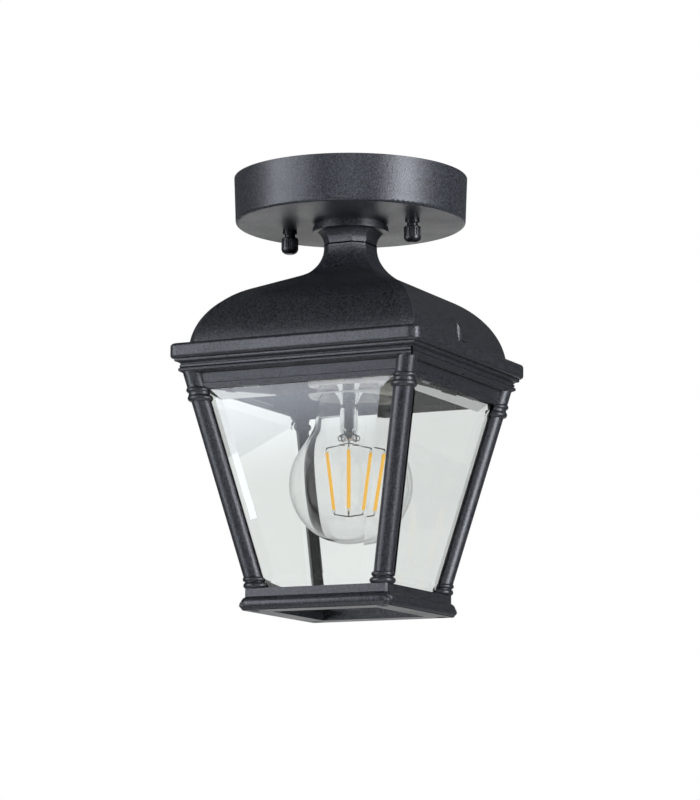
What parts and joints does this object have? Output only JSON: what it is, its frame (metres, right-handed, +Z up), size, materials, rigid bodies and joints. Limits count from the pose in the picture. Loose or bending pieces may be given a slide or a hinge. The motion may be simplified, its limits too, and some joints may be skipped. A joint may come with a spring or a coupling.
{
  "type": "porch ceiling lantern",
  "caption": "Square tapering ceiling lantern with an ogee roof, ringed round posts, bevelled glass panes and a screw-in bulb, hung on a short neck from a round canopy.",
  "frame": {"origin": "centre of the canopy's ceiling face, in the plane of the ceiling", "axes": "+Z up into the ceiling; -Y is the front; the two cap nuts and the two cage screws stand on the X axis; the lantern hangs along -Z"},
  "size_m": [0.1376, 0.1376, 0.2241],
  "materials": {
    "sheet_black": "fine textured matt black powder coat on pressed steel",
    "cast_black": "fine textured matt black powder coat on die-cast aluminium",
    "nut_black": "black powder coat on turned steel",
    "screw_black": "black oxide on steel",
    "zinc_steel": "bright zinc plated steel",
    "spring_steel": "bare spring steel",
    "ground_green": "green lacquered steel",
    "pane_glass": "clear bevelled float glass with a faint green edge",
    "bulb_glass": "clear blown glass",
    "holder_aluminium": "spun aluminium, satin",
    "porcelain": "white glazed porcelain",
    "shell_brass": "pressed brass",
    "bulb_nickel": "nickel plated brass",
    "black_insulator": "black vitrite",
    "contact_tin": "tinned brass",
    "filament_phosphor": "amber phosphor in silicone, unlit",
    "wire_steel": "nickel iron wire",
    "lead_black": "black silicone insulation",
    "lead_white": "white silicone insulation",
    "connector_plastic": "orange moulded plastic"
  },
  "bodies": {
    "canopy_and_roof": {"canopy": "sheet_black", "mounting_crossbar": "zinc_steel", "canopy_studs": "zinc_steel", "stud_locknuts": "zinc_steel", "ground_screw": "ground_green", "threaded_nipple": "zinc_steel", "nipple_nuts": "zinc_steel", "lock_washer": "zinc_steel", "neck_collar": "cast_black", "roof": "cast_black", "lamp_holder_cap": "holder_aluminium", "lamp_holder_body": "porcelain", "screw_shell": "shell_brass", "centre_contact": "shell_brass", "holder_set_screw": "zinc_steel", "lead_black": "lead_black", "lead_white": "lead_white", "wire_connectors": "connector_plastic"},
    "cage": {"top_frame": "cast_black", "post_front_right": "cast_black", "post_back_right": "cast_black", "post_back_left": "cast_black", "post_front_left": "cast_black", "post_screws_head": "screw_black", "post_screws_foot": "screw_black", "bottom_frame": "cast_black", "glass_front": "pane_glass", "glass_right": "pane_glass", "glass_back": "pane_glass", "glass_left": "pane_glass", "glass_bottom": "pane_glass", "pane_clips": "spring_steel"},
    "bulb": {"bulb_glass": "bulb_glass", "bulb_cap": "bulb_nickel", "bulb_insulator": "black_insulator", "bulb_contact": "contact_tin", "bulb_stem": "bulb_glass", "bulb_filaments": "filament_phosphor", "bulb_wires": "wire_steel"},
    "cap_nut_left": {"cap_nut_left": "nut_black"},
    "cap_nut_right": {"cap_nut_right": "nut_black"},
    "cage_screw_left": {"cage_screw_left": "screw_black"},
    "cage_screw_right": {"cage_screw_right": "screw_black"}
  },
  "joints": [
    {"name": "cage_drop", "type": "slide", "parent": "canopy_and_roof", "child": "cage", "axis": [0, 0, -1], "range_m": [0, 0.12]},
    {"name": "bulb_unscrew", "type": "slide", "parent": "canopy_and_roof", "child": "bulb", "axis": [0, 0, -1], "range_m": [0, 0.024]},
    {"name": "cap_nut_left_unscrew", "type": "slide", "parent": "canopy_and_roof", "child": "cap_nut_left", "axis": [0, 0, -1], "range_m": [0, 0.0115]},
    {"name": "cap_nut_right_unscrew", "type": "slide", "parent": "canopy_and_roof", "child": "cap_nut_right", "axis": [0, 0, -1], "range_m": [0, 0.0115]},
    {"name": "cage_screw_left_unscrew", "type": "slide", "parent": "canopy_and_roof", "child": "cage_screw_left", "axis": [0, 0, 1], "range_m": [0, 0.0145]},
    {"name": "cage_screw_right_unscrew", "type": "slide", "parent": "canopy_and_roof", "child": "cage_screw_right", "axis": [0, 0, 1], "range_m": [0, 0.0145]}
  ]
}
